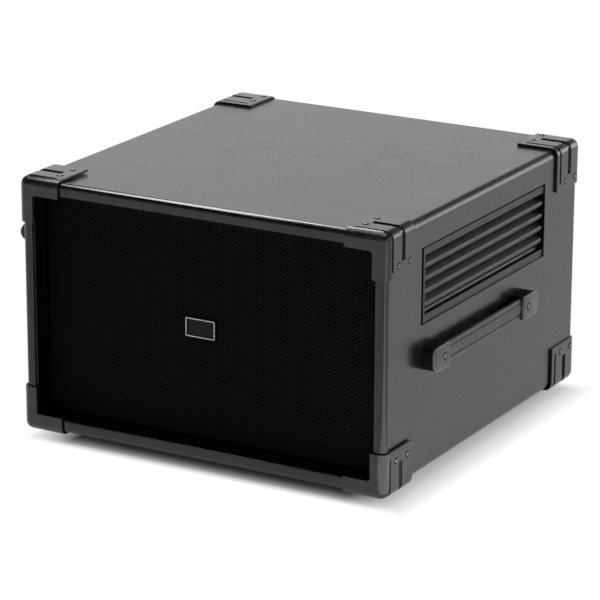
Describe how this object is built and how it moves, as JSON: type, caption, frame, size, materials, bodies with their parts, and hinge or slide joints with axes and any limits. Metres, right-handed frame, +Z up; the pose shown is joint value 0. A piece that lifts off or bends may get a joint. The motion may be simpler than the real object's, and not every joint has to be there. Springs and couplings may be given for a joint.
{
  "type": "rotating speaker cabinet",
  "caption": "Low black speaker cabinet with moulded corners, strap handles, side louvres, a front grille and a belt-driven rotating drum over an upward-firing driver.",
  "frame": {"origin": "on the floor, under the middle of the cabinet", "axes": "+X to the right seen from the front, +Y to the rear, +Z up"},
  "size_m": [0.555, 0.541, 0.347],
  "materials": {
    "tolex": "plywood covered in pebbled dark grey vinyl, low sheen",
    "painted_board": "matt black painted board",
    "trim_extrusion": "smooth dark extrusion with a satin sheen",
    "corner_plastic": "moulded dark plastic, fine texture",
    "grille_steel": "black powder-coated perforated steel",
    "badge_plate": "small black plate, satin",
    "louvre_plastic": "moulded dark plastic",
    "handle_rubber": "dark grey moulded strap, two fine grooves",
    "rubber": "black rubber, dull",
    "zinc_steel": "bright plated steel",
    "painted_steel": "black painted steel",
    "ferrite": "dark grey ferrite with steel poles",
    "cone_paper": "black paper pulp, dull",
    "rotor_drum": "thin plywood, lacquered",
    "control_plate": "black painted panel",
    "knob_plastic": "black plastic, satin"
  },
  "bodies": {
    "cabinet": {"top_panel": "tolex", "bottom_panel": "tolex", "left_side_panel": "tolex", "right_side_panel": "tolex", "rear_panel": "tolex", "front_baffle": "painted_board", "rotor_shelf": "painted_board", "front_trim_top": "trim_extrusion", "front_trim_right": "trim_extrusion", "front_trim_bottom": "trim_extrusion", "front_trim_left": "trim_extrusion", "front_top_left_corner": "corner_plastic", "front_top_right_corner": "corner_plastic", "front_bottom_left_corner": "corner_plastic", "front_bottom_right_corner": "corner_plastic", "rear_top_left_corner": "corner_plastic", "rear_top_right_corner": "corner_plastic", "rear_bottom_left_corner": "corner_plastic", "rear_bottom_right_corner": "corner_plastic", "left_handle_front_cap": "corner_plastic", "left_handle_rear_cap": "corner_plastic", "right_handle_front_cap": "corner_plastic", "right_handle_rear_cap": "corner_plastic", "mains_inlet": "corner_plastic", "signal_socket": "corner_plastic", "front_grille": "grille_steel", "badge_plate": "badge_plate", "left_louvre_frame": "louvre_plastic", "right_louvre_frame": "louvre_plastic", "left_louvre_slat_1": "louvre_plastic", "left_louvre_slat_2": "louvre_plastic", "left_louvre_slat_3": "louvre_plastic", "left_louvre_slat_4": "louvre_plastic", "left_louvre_slat_5": "louvre_plastic", "right_louvre_slat_1": "louvre_plastic", "right_louvre_slat_2": "louvre_plastic", "right_louvre_slat_3": "louvre_plastic", "right_louvre_slat_4": "louvre_plastic", "right_louvre_slat_5": "louvre_plastic", "left_handle_strap": "handle_rubber", "right_handle_strap": "handle_rubber", "front_left_foot": "rubber", "front_right_foot": "rubber", "rear_left_foot": "rubber", "rear_right_foot": "rubber", "side_bumper": "rubber", "drive_belt": "rubber", "rotor_bearing_lower": "zinc_steel", "rotor_bearing_upper": "zinc_steel", "rotor_motor": "painted_steel", "woofer_basket": "painted_steel", "woofer_magnet": "ferrite", "control_plate": "control_plate"},
    "rotor": {"rotor_drum": "rotor_drum", "rotor_shaft": "zinc_steel"},
    "pulley": {"motor_pulley": "zinc_steel"},
    "cone": {"woofer_cone": "cone_paper", "woofer_surround": "rubber"},
    "knob": {"level_knob": "knob_plastic"},
    "rocker": {"power_rocker": "knob_plastic"}
  },
  "joints": [
    {"name": "rotor_spin", "type": "hinge", "parent": "cabinet", "child": "rotor", "pos_m": [0, 0, 0.2525], "axis": [0, 0, 1], "continuous": true},
    {"name": "motor_spin", "type": "hinge", "parent": "cabinet", "child": "pulley", "pos_m": [0.186, 0.178, 0.2985], "axis": [0, 0, 1], "continuous": true},
    {"name": "cone_travel", "type": "slide", "parent": "cabinet", "child": "cone", "axis": [0, 0, 1], "range_m": [-0.004, 0.004], "stiffness_N_per_m": 4000},
    {"name": "level_knob_turn", "type": "hinge", "parent": "cabinet", "child": "knob", "pos_m": [0.015, 0.2398, 0.0935], "axis": [0, -1, 0], "range_deg": [0, 300]},
    {"name": "power_rocker_tilt", "type": "hinge", "parent": "cabinet", "child": "rocker", "pos_m": [-0.045, 0.2353, 0.0935], "axis": [1, 0, 0], "range_deg": [0, 16]}
  ],
  "couplings": [
    {"joint": "motor_spin", "follows": "rotor_spin", "ratio": 14.415}
  ]
}
